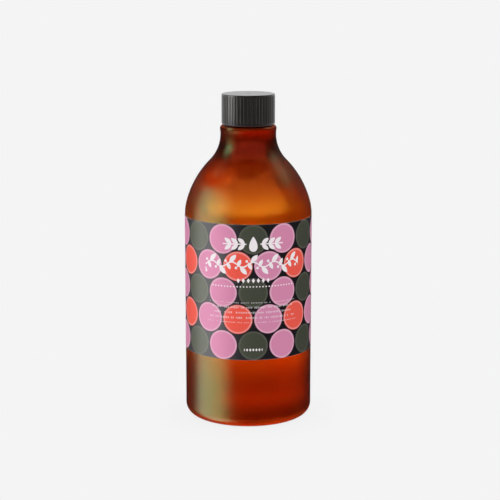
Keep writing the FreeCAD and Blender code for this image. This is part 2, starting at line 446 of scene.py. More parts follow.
def bottle_outline(body, neck):
    ledge = neck.lip - neck.finish_height
    bore = neck.finish_radius - neck.finish_wall
    outside = body_side(body, 0)
    collar = outside[-1].x
    below_lip = neck.lip - 2 * MM
    foot = rounded([
        (neck.finish_radius + 1 * MM, ledge, 0),
        (neck.finish_radius, ledge, neck.edge_radius),
        (neck.finish_radius, ledge + 1 * MM, 0),
    ])[1:-1]
    lip = rounded([
        (neck.finish_radius, below_lip, 0),
        (neck.finish_radius, neck.lip, neck.edge_radius),
        (bore, neck.lip, neck.edge_radius),
        (bore, below_lip, 0),
    ])[1:-1]
    throat = rounded([
        (bore, below_lip, 0),
        (bore, ledge - body.wall, neck.edge_radius),
        (collar, ledge - body.wall, 0),
    ])[1:]
    inside = body_side(body, body.wall)[::-1]
    return (
        rings(base_dome(body, 0) + outside + foot[:-1])
        + finish_rings(neck, ledge)
        + rings(lip[1:] + throat[:-1] + inside + base_dome(body, body.base_wall)[::-1])
    )


def oil_outline(body, neck, level):
    """The oil's skin lies a little inside the wall, and its surface climbs where it wets it."""
    inset = body.wall - body.oil_overlap
    side = [point for point in body_side(body, inset) if point.y < level - body.meniscus]
    edge = side[-1].x
    surface = [
        (edge - body.meniscus * 2 * share, level - body.meniscus * ease(share))
        for share in rows(0, 1, 1 / SHORT_ARC_STEPS)
    ]
    dome = base_dome(body, body.base_wall - body.oil_overlap)
    return rings(dome + side + surface + [(0, surface[-1][1])])


# --- Shader wiring ----------------------------------------------------------------------
# Sockets of a Mix node that is set to colours, and the usual softness of a mask's edge.
MIX_FACTOR, MIX_FIRST, MIX_SECOND, MIX_RESULT = 0, 6, 7, 2
SOFT_EDGE = 0.1
FINE_EDGE = 0.08


def feed(place, value):
    """Sets a socket to a plain value, or links it to a wire."""
    if isinstance(value, Wire):
        place.id_data.links.new(value.socket, place)
    elif place.type == "RGBA":
        place.default_value = (*value[:3], 1)
    else:
        place.default_value = value


class Wire:
    """A value in a shader that takes the usual arithmetic signs; each adds a Math node."""

    def __init__(self, socket):
        self.socket = socket
        self.tree = socket.id_data

    def math(self, operation, *others):
        node = self.tree.nodes.new("ShaderNodeMath")
        node.operation = operation
        for place, value in zip(node.inputs, (self, *others)):
            feed(place, value)
        return Wire(node.outputs["Value"])

    def __add__(self, other):
        return self.math("ADD", other)

    def __sub__(self, other):
        return self.math("SUBTRACT", other)

    def __rsub__(self, other):
        return self * -1 + other

    def __mul__(self, other):
        return self.math("MULTIPLY", other)

    def __truediv__(self, other):
        return self.math("DIVIDE", other)

    def __neg__(self):
        return self * -1

    def __abs__(self):
        return self.math("ABSOLUTE")

    def wrapped(self, reach):
        """The value moved by whole periods of 2 * reach into -reach..reach."""
        return self.math("WRAP", reach, -reach)

    def step(self, low, high):
        """0 below low and 1 above high, smooth between; low may be the larger."""
        node = self.tree.nodes.new("ShaderNodeMapRange")
        node.interpolation_type = "SMOOTHSTEP"
        feed(node.inputs["Value"], self)
        feed(node.inputs["From Min"], min(low, high))
        feed(node.inputs["From Max"], max(low, high))
        feed(node.inputs["To Min"], 0 if low < high else 1)
        feed(node.inputs["To Max"], 1 if low < high else 0)
        return Wire(node.outputs["Result"])

    def above(self, edge, soft=SOFT_EDGE):
        """Mask of what is above an edge that is softened by soft on both sides."""
        return self.step(edge - soft, edge + soft)

    def below(self, edge, soft=SOFT_EDGE):
        return self.step(edge + soft, edge - soft)

    def between(self, first, second):
        """The colour or value first where this is 0, and second where it is 1."""
        node = self.tree.nodes.new("ShaderNodeMix")
        node.data_type = "RGBA"
        feed(node.inputs[MIX_FACTOR], self)
        feed(node.inputs[MIX_FIRST], first)
        feed(node.inputs[MIX_SECOND], second)
        return Wire(node.outputs[MIX_RESULT])


def place_in_mm(tree):
    """Object coordinates in millimetres: the vector and its three parts."""
    node = tree.nodes.new("ShaderNodeTexCoord")
    scaled = tree.nodes.new("ShaderNodeVectorMath")
    scaled.operation = "SCALE"
    feed(scaled.inputs["Vector"], Wire(node.outputs["Object"]))
    feed(scaled.inputs["Scale"], 1 / MM)
    return Wire(scaled.outputs["Vector"]), *parts(Wire(scaled.outputs["Vector"]))


def parts(vector):
    node = vector.tree.nodes.new("ShaderNodeSeparateXYZ")
    feed(node.inputs["Vector"], vector)
    return [Wire(output) for output in node.outputs]


def joined(across, along, up):
    node = across.tree.nodes.new("ShaderNodeCombineXYZ")
    for place, value in zip(node.inputs, (across, along, up)):
        feed(place, value)
    return Wire(node.outputs["Vector"])


def noise(vector, size, detail=3.0, roughness=0.5):
    """Soft noise whose blotches are about size across, in the vector's units."""
    node = vector.tree.nodes.new("ShaderNodeTexNoise")
    feed(node.inputs["Vector"], vector)
    feed(node.inputs["Scale"], 1 / size if not isinstance(size, Wire) else size.math("POWER", -1))
    feed(node.inputs["Detail"], detail)
    feed(node.inputs["Roughness"], roughness)
    return Wire(node.outputs[0])


def chance(vector):
    """An even random value for each whole-number cell of the vector."""
    node = vector.tree.nodes.new("ShaderNodeTexWhiteNoise")
    node.noise_dimensions = "2D"
    feed(node.inputs["Vector"], vector)
    return Wire(node.outputs["Value"])


def effect_group(name, inputs, outputs, fill):
    """Builds a shader node group once; inputs are {name: default}, fill makes the outputs."""
    group = bpy.data.node_groups.get(name)
    if group:
        return group
    group = bpy.data.node_groups.new(name, "ShaderNodeTree")
    for label, default in inputs.items():
        socket = group.interface.new_socket(label, in_out="INPUT", socket_type="NodeSocketFloat")
        socket.default_value = default
    for label in outputs:
        group.interface.new_socket(label, in_out="OUTPUT", socket_type="NodeSocketFloat")
    entry = group.nodes.new("NodeGroupInput")
    ending = group.nodes.new("NodeGroupOutput")
    found = fill(group, {label: Wire(entry.outputs[label]) for label in inputs})
    for label, wire in zip(outputs, found):
        feed(ending.inputs[label], wire)
    return group


def effect(tree, group, **values):
    """Places a group in a material and returns its outputs as wires, by name."""
    node = tree.nodes.new("ShaderNodeGroup")
    node.node_tree = group
    for label, value in values.items():
        feed(node.inputs[label.replace("_", " ")], value)
    return {output.name: Wire(output) for output in node.outputs}


def moulded_grain():
    """Fine grain and broad mottling of moulded plastic, film or foam."""

    def fill(tree, inputs):
        vector = place_in_mm(tree)[0]
        grain = noise(vector, inputs["Grain size"], detail=2, roughness=0.6)
        mottle = noise(vector, inputs["Mottle size"], detail=3, roughness=0.55)
        return grain, mottle.step(0.3, 0.7)

    inputs = {"Grain size": 0.3, "Mottle size": 12}
    return effect_group("Moulded grain", inputs, ["Grain", "Mottle"], fill)


def handling_marks():
    """Thin upright scuffs and finger smudges, as masks."""

    def fill(tree, inputs):
        vector, across, along, up = place_in_mm(tree)
        stretched = joined(across, along, up / inputs["Stretch"])
        streaks = noise(stretched, inputs["Scuff size"], detail=4, roughness=0.7)
        patches = noise(vector, inputs["Smudge size"], detail=2)
        scuffs = streaks.step(0.62, 0.74) * patches.step(0.42, 0.6)
        return scuffs, patches.step(0.45, 0.72)

    inputs = {"Scuff size": 0.8, "Stretch": 9, "Smudge size": 16}
    return effect_group("Handling marks", inputs, ["Scuffs", "Smudges"], fill)


def edge_rub():
    """Wear that fades with the distance from an edge and breaks up along it."""

    def fill(tree, inputs):
        broken = noise(place_in_mm(tree)[0], 1.4, detail=3, roughness=0.65)
        worn = inputs["Distance"] + (broken - 0.5) * inputs["Reach"] * 1.6
        share = worn / inputs["Reach"]
        return [share.step(1, 0)]

    return effect_group("Edge rub", {"Distance": 1, "Reach": 0.3}, ["Rub"], fill)


def fresh_material(name):
    """A node material: its tree and its Principled shader."""
    material = bpy.data.materials.new(name)
    material.use_nodes = True
    tree = material.node_tree
    return material, tree, tree.nodes["Principled BSDF"]


def dress(shader, base, rough, **others):
    """Feeds a shader; a number that is the same all over goes straight to its socket."""
    feed(shader.inputs["Base Color"], base)
    feed(shader.inputs["Roughness"], rough)
    for label, value in others.items():
        feed(shader.inputs[label.replace("_", " ")], value)


def bump(tree, height, strength, distance):
    """Feeds a height in millimetres through a Bump node."""
    node = tree.nodes.new("ShaderNodeBump")
    feed(node.inputs["Height"], height)
    feed(node.inputs["Strength"], strength)
    feed(node.inputs["Distance"], distance * MM)
    return Wire(node.outputs["Normal"])


def dimmed(shade, share):
    return [part * share for part in shade]


def colour_stops(factor, stops):
    """Colour ramp with smooth changes; stops are (position, colour)."""
    node = factor.tree.nodes.new("ShaderNodeValToRGB")
    ramp = node.color_ramp
    ramp.interpolation = "B_SPLINE"
    while len(ramp.elements) < len(stops):
        ramp.elements.new(1)
    for element, (position, shade) in zip(ramp.elements, stops):
        element.position = position
        element.color = (*shade[:3], 1)
    feed(node.inputs[0], factor)
    return Wire(node.outputs["Color"])


# --- Materials --------------------------------------------------------------------------
PLASTIC_IOR = 1.5
OIL_IOR = 1.47


def amber_plastic(finish, neck, body, label):
    """Satin see-through amber whose colour changes with height. Deeper amber at the waist and base
    stands for thicker plastic; the brighter amber just above and below the label and at the very bottom
    is painted glow of light shining through.
    """
    material, tree, shader = fresh_material("amber_plastic")
    up = place_in_mm(tree)[-1]
    grain = effect(tree, moulded_grain(), Grain_size=1.6, Mottle_size=26.0)
    height = up * (MM / neck.lip) + (grain["Mottle"] - 0.5) * 0.012
    foot = label.bottom / neck.lip
    panel = body.panel_top / neck.lip
    # Where each colour of amber begins and ends: shares of the label's lower edge, then of the
    # shoulder's start. The foot colour at the very bottom and just below the label, and the panel colour
    # above the label, are painted glow of light shining through.
    stops = [
        (0, finish.amber_foot_glow),
        (foot * 0.07, finish.amber_foot_glow),
        (foot * 0.19, finish.amber_base),
        (foot * 0.38, finish.amber_base),
        (foot * 0.68, finish.amber_heel),
        (foot * 0.98, finish.amber_foot_glow),
        (panel * 0.94, finish.amber_panel_glow),
        (panel * 1.05, finish.amber_panel_glow),
        (panel * 1.13, finish.amber_shoulder),
        (panel * 1.24, finish.amber_shoulder),
        (panel * 1.30, finish.amber_waist),
        (panel * 1.36, finish.amber_waist),
        (panel * 1.42, finish.amber_neck),
        (1, finish.amber_neck),
    ]
    rough = grain["Grain"] * 0.04 + (finish.bottle_gloss - 0.02)
    dress(shader, colour_stops(height, stops), rough, Transmission_Weight=1, IOR=PLASTIC_IOR,
          Specular_Tint=finish.amber_gleam, Normal=bump(tree, grain["Grain"], 0.25, 0.05))
    return material


def golden_oil(finish):
    """Clear oil with a faint broad cloudiness."""
    material, tree, shader = fresh_material("golden_oil")
    cloud = noise(place_in_mm(tree)[0], 30, detail=2)
    base = cloud.step(0.3, 0.7).between(finish.oil, dimmed(finish.oil, 0.94))
    dress(shader, base, cloud * 0.03, Transmission_Weight=1, IOR=OIL_IOR)
    return material


# Heights of the rows of ornament over the bottle's foot, in millimetres.
EMBLEM_UP = 129
GARLAND_UP = 115
DIAMONDS_UP = 104
POINTS_UP = 99.8
LINES_UP = 81.9
FOOTER_UP = 56


def dot_lattice(around, up, column, rows_apart, first_row, sideways):
    """Nearest dot of every second row: its distance and whether its number is odd."""
    row_off = (up - first_row).wrapped(rows_apart)
    shifted = around / column + sideways
    number_along = shifted.math("ROUND")
    off = (shifted - number_along) * column
    distance = (off * off + row_off * row_off).math("SQRT")
    odd = number_along.math("FLOORED_MODULO", 2)
    return distance, odd


def leaf(across, up, half_length, half_width, lean):
    """Mask of a pointed leaf about the origin, leaning by lean radians."""
    cosine = math.cos(lean)
    sine = math.sin(lean)
    along = across * cosine + up * sine
    aside = up * cosine - across * sine
    share = along / half_length
    return ((1 - share * share) * half_width - abs(aside)).above(0, FINE_EDGE)


def either(*masks):
    """Union of masks."""
    made = masks[0]
    for mask in masks[1:]:
        made = made.math("MAXIMUM", mask)
    return made


def laurel(across, up):
    """Emblem: a drop of oil between two leafy sprigs."""
    drop_foot, drop_height, drop_width = 5.2, 10.6, 7.4
    first_leaf, leaf_pitch, last_pair = 8.1, 4.6, 2
    share = (up + drop_foot) / drop_height
    inside = share.math("MAXIMUM", 0).math("SQRT") * (1 - share) * drop_width
    drop = (inside - abs(across)).above(0) * share.step(0.98, 0.94) * share.step(0, 0.02)
    side = abs(across)
    cell = ((side - first_leaf) / leaf_pitch).math("ROUND").math("MINIMUM", last_pair).math("MAXIMUM", 0)
    off = side - cell * leaf_pitch - first_leaf
    pair = leaf(off, abs(up) - 2.1, half_length=3.1, half_width=1.4, lean=math.radians(38))
    stem = (0.4 - abs(up)).above(0, FINE_EDGE) * side.above(4.7) * side.below(21.1)
    return either(drop, pair, stem)


def garland(across, up, half_span):
    """Long waving stem with a leaf and a berry at each bend."""
    half_wave, wave_height, half_stem = 7.3, 1.7, 0.5
    berry_across, berry_up, berry_radius = 2.9, 2.3, 0.92
    cell = (across / half_wave).math("ROUND")
    flip = cell.math("FLOORED_MODULO", 2) * -2 + 1
    off = across - cell * half_wave
    wave = (across * (math.pi / half_wave)).math("COSINE") * wave_height
    stem = (half_stem - abs(up - wave)).above(0, FINE_EDGE)
    level = up * flip
    blade = leaf(off - 0.6, level - 4.1, half_length=3.5, half_width=1.6, lean=math.radians(48))
    second = leaf(off + 2.4, level + 0.9, half_length=2.9, half_width=1.3, lean=math.radians(118))
    berry_off = (off - berry_across).math("POWER", 2) + (level + berry_up).math("POWER", 2)
    berry = berry_off.math("SQRT").below(berry_radius, FINE_EDGE)
    return either(stem, blade, second, berry) * abs(across).below(half_span)


def lozenges(across, up, pitch, half_span, half_width, half_height):
    """Row of small upright diamonds."""
    off = abs(across.wrapped(pitch / 2)) / half_width + abs(up) / half_height
    return off.below(1, FINE_EDGE) * abs(across).below(half_span)


def broken_lines(across, up, half_span, pitch, row_count):
    """Fine lines of short dashes, which stand for small print."""
    dash, half_dash, gap_share, lowest_stroke = 1.15, 0.35, 0.25, 0.38
    row = (up / pitch).math("ROUND")
    cell = (across / dash).math("ROUND")
    off = abs(across - cell * dash)
    drawn = chance(joined(cell, row, 0.0)).above(gap_share, 0.01)
    tall = chance(joined(cell, row + 40, 0.0)) * 0.35 + lowest_stroke
    stroke = off.below(half_dash, 0.07) * (tall - abs(up - row * pitch)).above(0, FINE_EDGE)
    ends = half_span - chance(joined(row * 3, row, 0.0)) * 6
    in_rows = abs(up).below(row_count / 2 * pitch)
    return stroke * drawn * (ends - abs(across)).above(0) * in_rows


def label_print(finish, label):
    """Printed film: dark ground, three colours of dots and a white ornament."""
    material, tree, shader = fresh_material("label_print")
    _, across, along, up = place_in_mm(tree)
    radius = label.radius / MM
    around = across.math("ARCTAN2", -along) * radius - label.middle * radius
    grain = effect(tree, moulded_grain(), Grain_size=0.35, Mottle_size=9.0)
    column = FULL_TURN * radius / label.dots_round
    row_pitch = label.row_pitch / MM
    middle_row = (label.bottom + label.top) / 2 / MM
    dot = label.dot_radius / MM
    even_distance, even_odd = dot_lattice(around, up, column, row_pitch, middle_row, 0.0)
    odd_distance, odd_odd = dot_lattice(around, up, column, row_pitch, middle_row + row_pitch, 0.5)
    past_rows = abs(up - middle_row).above(row_pitch * 2, row_pitch * 0.01)
    odd_distance = odd_distance + past_rows * dot * 2
    in_even = (odd_distance - even_distance).above(0, 0.01)
    nearest = even_distance.math("MINIMUM", odd_distance)
    accent = in_even.between(finish.red, finish.green)
    is_pink = in_even * even_odd + (1 - in_even) * odd_odd
    ink = is_pink.between(accent, finish.pink)
    rim = label.dot_rim / MM
    in_rim = nearest.step(dot - rim * 2, dot - rim) * nearest.step(dot, dot - rim * 0.6)
    is_green = in_even * (1 - is_pink)
    paler = in_rim * (0.26 - is_green * 0.22)
    ink = paler.between(ink, finish.ink)
    printed = nearest.below(dot).between(finish.ground, ink)
    shade = grain["Mottle"] * 0.008 + 0.002
    printed = shade.between(printed, dimmed(finish.ink, 0.5))
    ornament = either(
        laurel(around, up - EMBLEM_UP),
        garland(around, up - GARLAND_UP, half_span=35),
        lozenges(around, up - DIAMONDS_UP, pitch=3.4, half_span=11.9, half_width=1.1, half_height=1.7),
        lozenges(around, up - POINTS_UP, pitch=2.2, half_span=29.7, half_width=0.62, half_height=0.62),
        lozenges(around, up - FOOTER_UP, pitch=2.1, half_span=6.3, half_width=0.75, half_height=1.1),
        broken_lines(around, up - LINES_UP, half_span=33, pitch=3.55, row_count=4) * 0.5,
    )
    printed = ornament.between(printed, finish.ink)
    from_edge = middle_row - abs(up - middle_row) - label.bottom / MM
    rub = effect(tree, edge_rub(), Distance=from_edge, Reach=0.25)["Rub"]
    height = grain["Grain"] * 0.25 + ornament * 0.5
    rough = grain["Grain"] * 0.08 + ornament * 0.05 + 0.4
    dress(shader, (rub * 0.3).between(printed, finish.label_back), rough, Specular_IOR_Level=0.32,
          Sheen_Weight=0.1, Sheen_Roughness=0.3, Normal=bump(tree, height, 0.3, 0.03))
    return material


def label_backing(finish):
    """White back of the film, with the fibres of its adhesive paper."""
    material, tree, shader = fresh_material("label_backing")
    grain = effect(tree, moulded_grain(), Grain_size=0.5, Mottle_size=6.0)
    base = grain["Mottle"].between(finish.label_back, dimmed(finish.label_back, 0.9))
    dress(shader, base, grain["Grain"] * 0.15 + 0.55, Normal=bump(tree, grain["Grain"], 0.3, 0.02))
    return material


def black_plastic(finish, cap):
    """Satin black moulding; the ribs' crests are rubbed smoother and a little paler."""
    material, tree, shader = fresh_material("black_plastic")
    across, along = place_in_mm(tree)[1:3]
    grain = effect(tree, moulded_grain(), Grain_size=0.22, Mottle_size=7.0)
    marks = effect(tree, handling_marks(), Scuff_size=0.5, Smudge_size=9.0)
    out = (across * across + along * along).math("SQRT")
    crest = abs(out - cap.radius / MM)
    rub = effect(tree, edge_rub(), Distance=crest, Reach=0.14)["Rub"]
    paler = [part * 1.8 + 0.003 for part in finish.cap]
    base = (rub * 0.35 + marks["Scuffs"] * 0.2).between(finish.cap, paler)
    rough = grain["Grain"] * 0.1 + marks["Smudges"] * 0.05 - rub * 0.06 + 0.3
    dress(shader, base, rough, IOR=PLASTIC_IOR, Specular_IOR_Level=0.4, Sheen_Weight=1,
          Sheen_Roughness=0.4, Normal=bump(tree, grain["Grain"], 0.35, 0.02))
    return material


def milky_plastic(finish):
    """Soft whitish plastic that light seeps into."""
    material, tree, shader = fresh_material("milky_plastic")
    grain = effect(tree, moulded_grain(), Grain_size=0.4, Mottle_size=5.0)
    warmer = [part * share for part, share in zip(finish.insert, (0.97, 0.95, 0.9))]
    base = grain["Mottle"].between(finish.insert, warmer)
    dress(shader, base, grain["Grain"] * 0.12 + 0.38, Subsurface_Weight=0.3,
          Subsurface_Scale=0.8 * MM, Normal=bump(tree, grain["Grain"], 0.25, 0.02))
    return material


def foam(finish):
    """Fine closed foam: small cells in the bump and faint cloudiness in the colour."""
    material, tree, shader = fresh_material("liner_foam")
    cells = tree.nodes.new("ShaderNodeTexVoronoi")
    feed(cells.inputs["Vector"], place_in_mm(tree)[0])
    feed(cells.inputs["Scale"], 3.2)
    cell = Wire(cells.outputs["Distance"])
    grain = effect(tree, moulded_grain(), Grain_size=0.3, Mottle_size=4.0)
    base = (grain["Mottle"] * 0.6).between(finish.liner, dimmed(finish.liner, 0.86))
    dress(shader, base, cell * 0.2 + 0.6, Normal=bump(tree, cell, 0.5, 0.06))
    return material


# --- Operators: one for each piece ------------------------------------------------------
class MakeBottle(bpy.types.Operator):
    """Build the hollow amber bottle with its threaded neck"""

    bl_idname = "oil_bottle.make_bottle"
    bl_label = "Amber bottle"

    def execute(self, context):
        wanted = context.scene.oil_bottle
        material = amber_plastic(wanted.finish, wanted.neck, wanted.body, wanted.label)
        outline = bottle_outline(wanted.body, wanted.neck)
        piece = turned_piece("amber_bottle", outline, BODY_COUNT, material)
        stands_for(piece, "bottle", "bottle")
        return {"FINISHED"}


class MakeOil(bpy.types.Operator):
    """Build the oil that fills the bottle up to its neck"""

    bl_idname = "oil_bottle.make_oil"
    bl_label = "Oil"

    def execute(self, context):
        wanted = context.scene.oil_bottle
        outline = oil_outline(wanted.body, wanted.neck, highest("oil_fill"))
        piece = turned_piece("oil", outline, BODY_COUNT, golden_oil(wanted.finish))
        stands_for(piece, "oil_fill", "bottle")
        return {"FINISHED"}


class MakeLabel(bpy.types.Operator):
    """Build the wrap-round label, printed outside and plain white on its back"""

    bl_idname = "oil_bottle.make_label"
    bl_label = "Label"

    def execute(self, context):
        wanted = context.scene.oil_bottle
        label = wanted.label
        inner = wanted.body.radius - label.bite
        middle = (label.bottom + label.top) / 2
        easing = 0.04 * MM
        section = rounded([
            (inner, middle, 0),
            (inner, label.bottom, easing),
            (label.radius, label.bottom, easing),
            (label.radius, label.top, easing),
            (inner, label.top, easing),
            (inner, middle, 0),
        ], steps=3)[:-1]
        sweep = FULL_TURN - label.seam / label.radius
        first = math.pi / 2 + label.seam / label.radius / 2
        mesh = bmesh.new()
        stations = []
        for index in range(BODY_COUNT + 1):
            turn = first + sweep * index / BODY_COUNT
            stations.append([
                mesh.verts.new((across * math.cos(turn), across * math.sin(turn), up))
                for across, up in section
            ])
        for near, far in zip(stations, stations[1:]):
            for index in range(len(section)):
                after = (index + 1) % len(section)
                mesh.faces.new((near[index], near[after], far[after], far[index]))
        mesh.faces.new(stations[0])
        mesh.faces.new(stations[-1])
        films = [label_print(wanted.finish, label), label_backing(wanted.finish)]
        piece = finished_piece("label_wrap", mesh, films)
        outside = (wanted.body.radius + label.radius) / 2
        for face in piece.data.polygons:
            if face.center.xy.length < outside:
                face.material_index = 1
        stands_for(piece, "label", "bottle")
        return {"FINISHED"}


class MakePourInsert(bpy.types.Operator):
    """Build the soft pour insert that plugs the neck"""

    bl_idname = "oil_bottle.make_pour_insert"
    bl_label = "Pour insert"

    def execute(self, context):
        wanted = context.scene.oil_bottle
        neck = wanted.neck
        floor = lowest("pour_insert")
        seal = highest("pour_insert")
        flange = widest("pour_insert")
        bore = neck.finish_radius - neck.finish_wall
        skirt = bore - neck.insert_clearance
        inside = skirt - neck.insert_wall
        soft = 0.25 * MM
        spout = neck.hole_radius + neck.spout_wall
        spout_top = floor + neck.insert_floor + neck.spout_height
        hole_middle = neck.hole_radius, (floor + spout_top) / 2, 0
        corners = [hole_middle, (neck.hole_radius, floor, soft), (skirt, floor, soft)]
        crisp = 0.05 * MM
        for index in range(neck.land_count):
            low = floor + neck.insert_floor + index * neck.land_spacing
            high = low + neck.land_height
            corners += [
                (skirt, low, crisp),
                (bore, low + neck.insert_clearance, crisp),
                (bore, high - neck.insert_clearance, crisp),
                (skirt, high, crisp),
            ]
        corners += [
            (skirt, neck.lip, 0.15 * MM),
            (flange, neck.lip, soft),
            (flange, seal, soft),
            (inside, seal, soft),
            (inside, floor + neck.insert_floor, 0.5 * MM),
            (spout, floor + neck.insert_floor, 0.4 * MM),
            (spout, spout_top, 0.3 * MM),
            (neck.hole_radius, spout_top, 0.3 * MM),
            hole_middle,
        ]
        outline = rings(rounded(corners)[:-1])
        piece = turned_piece("pour_plug", outline, NECK_COUNT, milky_plastic(wanted.finish), closed=True)
        stands_for(piece, "pour_insert", "bottle")
        return {"FINISHED"}


class MakeCapLiner(bpy.types.Operator):
    """Build the foam disc that seals the cap on the insert"""

    bl_idname = "oil_bottle.make_cap_liner"
    bl_label = "Cap liner"

    def execute(self, context):
        wanted = context.scene.oil_bottle
        low = lowest("cap_liner")
        high = highest("cap_liner")
        radius = widest("cap_liner")
        soft = 0.3 * MM
        outline = rings(rounded([(0, low, 0), (radius, low, soft), (radius, high, soft), (0, high, 0)]))
        piece = turned_piece("liner_disc", outline, NECK_COUNT, foam(wanted.finish))
        stands_for(piece, "cap_liner", "liner")
        return {"FINISHED"}


def rib_ends(cap):
    """Heights between which the grip ribs stand."""
    return cap.bottom + cap.bead, cap.top - cap.edge_radius - cap.top_rim


def rib_relief(cap, height):
    """How deep the grooves between the grip ribs are at this height; they run out at both ends."""
    low, high = rib_ends(cap)
    depth = cap.rib_depth * ease(min(height - low, high - height) / cap.rib_fade)
    flank = (1 - cap.rib_crest - cap.rib_groove) / 2

    def relief(turn):
        from_groove = abs((turn / FULL_TURN * cap.rib_count) % 1 - 0.5)
        return -depth * ease(1 - (from_groove - cap.rib_groove / 2) / flank)

    return relief


class MakeScrewCap(bpy.types.Operator):
    """Build the ribbed screw cap with its inside thread"""

    bl_idname = "oil_bottle.make_screw_cap"
    bl_label = "Screw cap"

    def execute(self, context):
        wanted = context.scene.oil_bottle
        neck = wanted.neck
        cap = wanted.cap
        rib_vertices = cap.rib_count * RIB_STEPS
        bore = cap.radius - cap.skirt_wall
        soft = 0.3 * MM
        gate = rounded([
            (0, cap.top - cap.gate_depth, 0),
            (cap.gate_radius - cap.gate_depth, cap.top - cap.gate_depth, 0.1 * MM),
            (cap.gate_radius, cap.top, 0.1 * MM),
            (cap.gate_radius * 2, cap.top, 0),
        ])
        top = rings(gate) + rings([(cap.radius * share, cap.top) for share in (0.45, 0.7, 0.88)])
        crown = (cap.radius - cap.edge_radius, cap.top - cap.edge_radius)
        edge = rings(arc(crown, cap.edge_radius, math.pi / 2, 0, SHORT_ARC_STEPS), rib_vertices)
        low, high = rib_ends(cap)
        fades = [share * cap.rib_fade for share in rows(0, 1, 1 / CORNER_STEPS)]
        heights = [high - fade for fade in fades] + [low + fade for fade in reversed(fades)]
        ribs = [Ring(cap.radius, height, rib_relief(cap, height), rib_vertices) for height in heights]
        hem = rings(rounded([
            (cap.radius, low, 0),
            (cap.radius, cap.bottom, soft),
            (bore + soft * 2, cap.bottom, 0),
        ])[1:], rib_vertices)
        chamfer = rings([(bore + soft, cap.bottom), (bore, cap.bottom + soft)])
        start = thread_start(neck) - neck.thread_pitch / 2
        depth = neck.finish_radius + cap.thread_gap - bore
        inside = []
        for height in rows(cap.bottom + soft * 2, cap.roof - soft * 2, THREAD_ROW):
            relief = thread_relief(neck, start, cap.thread_turns, height, depth)
            inside.append(Ring(bore, height, relief))
        roof = rings(rounded([(bore, cap.roof - 0.5 * MM, 0), (bore, cap.roof, soft), (0, cap.roof, 0)]))
        outline = top + edge + ribs + hem + chamfer + inside + roof
        piece = turned_piece("ribbed_cap", outline, NECK_COUNT, black_plastic(wanted.finish, cap))
        stands_for(piece, "screw_cap", "cap")
        return {"FINISHED"}


# --- Studio -----------------------------------------------------------------------------
CONTACT_SAMPLES = 16

# The flag: where it starts and how far it steps round the bottle, in degrees, how many faces it
# is wide, and which of them are left out above its slot.
FLAG_START = -25
FLAG_STEP = -5
FLAG_WIDTH = 21
FLAG_SLOT = range(6, 12)
FLAG_BLACK = (0.04, 0.04, 0.04)


def blank_tree(owner):
    """Node tree of a new material or world, emptied."""
    owner.use_nodes = True
    owner.node_tree.nodes.clear()
    return owner.node_tree


def seen_glow(name, seen_by):
    """A glow for the rays that seen_by picks from the light path, and clear to all others."""
    material = bpy.data.materials.new(name)
    tree = blank_tree(material)
    path = tree.nodes.new("ShaderNodeLightPath")
    clear = tree.nodes.new("ShaderNodeBsdfTransparent")
    glow = tree.nodes.new("ShaderNodeEmission")
    mixed = tree.nodes.new("ShaderNodeMixShader")
    feed(mixed.inputs[0], seen_by(tree, {kind.name: Wire(kind) for kind in path.outputs}))
    tree.links.new(clear.outputs[0], mixed.inputs[1])
    tree.links.new(glow.outputs[0], mixed.inputs[2])
    output = tree.nodes.new("ShaderNodeOutputMaterial")
    tree.links.new(mixed.outputs[0], output.inputs["Surface"])
    return material, tree, glow


def pale_floor(studio):
    """Evenly lit pale floor with a faint contact shade; only the camera sees it, from above."""

    def seen_by(tree, rays):
        facing = tree.nodes.new("ShaderNodeNewGeometry")
        return rays["Is Camera Ray"] * (1 - Wire(facing.outputs["Backfacing"]))

    material, tree, glow = seen_glow("pale_floor", seen_by)
    contact = tree.nodes.new("ShaderNodeAmbientOcclusion")
    contact.samples = CONTACT_SAMPLES
    feed(contact.inputs["Distance"], studio.contact_reach)
    shade = Wire(contact.outputs["AO"]) * (1 - studio.contact_shade) + studio.contact_shade
    feed(glow.inputs["Color"], studio.floor_colour)
    feed(glow.inputs["Strength"], shade)
    return material


def flag_card():
    """Black card that only mirrored light sees; it keeps the left box off the neck and cap."""

    def seen_by(tree, rays):
        return rays["Is Glossy Ray"] * (1 - rays["Is Transmission Ray"])

    material, tree, glow = seen_glow("flag_card", seen_by)
    feed(glow.inputs["Color"], FLAG_BLACK)
    return material


def soft_box(turn, rise, middle, half_width, low, high, softness=3):
    """Mask of a light box: its middle and half width round the bottle, its low and high edges."""
    aside = abs((turn - middle).wrapped(180))
    across = aside.below(half_width, softness)
    return across * rise.above(low, softness / 2) * rise.below(high, softness / 2)


def mirrored_light(turn, rise, studio):
    """What glossy surfaces mirror: a tall box on the left, high strips and a dim wall behind."""
    left_box = soft_box(turn, rise, -73, 30, -60, 30, 14)
    strips = soft_box(abs(turn), rise, 112, 14, 28, 48, 12)
    wall = soft_box(turn, rise, 180, 60, 3, 40, 6)
    return left_box * studio.left_light + strips * studio.edge_light + wall * studio.rear_light


def light_through(turn, rise, studio):
    """What shines through the bottle: light that falls in, and lit panels low behind it.

    The panels' strengths are shares of the back light. They were settled with test renders, one
    panel at a time, and then rounded.
    """
    from_front = soft_box(turn, rise, 0, 80, 9, 60, 6) * studio.inner_light
    from_above = soft_box(turn, rise, 170, 78, 9, 95, 6) * studio.side_light
    behind = soft_box(turn, rise, 180, 20, -16, 12)
    behind_low = soft_box(turn, rise, 180, 20, -40, -16) * 0.16
    left = soft_box(turn, rise, -143, 17, -22, 6) * 1.15
    right = soft_box(turn, rise, 143, 17, -22, 6) * 0.08
    right_low = soft_box(turn, rise, 143, 17, -42, -22) * 1.8
    far_right = soft_box(turn, rise, 106, 18, -40, 6) * 0.4
    below = soft_box(turn, rise, 180, 180, -65, -41) * 0.85
    panels = behind + behind_low + left + right + right_low + far_right + below
    return from_front + from_above + panels * studio.back_light


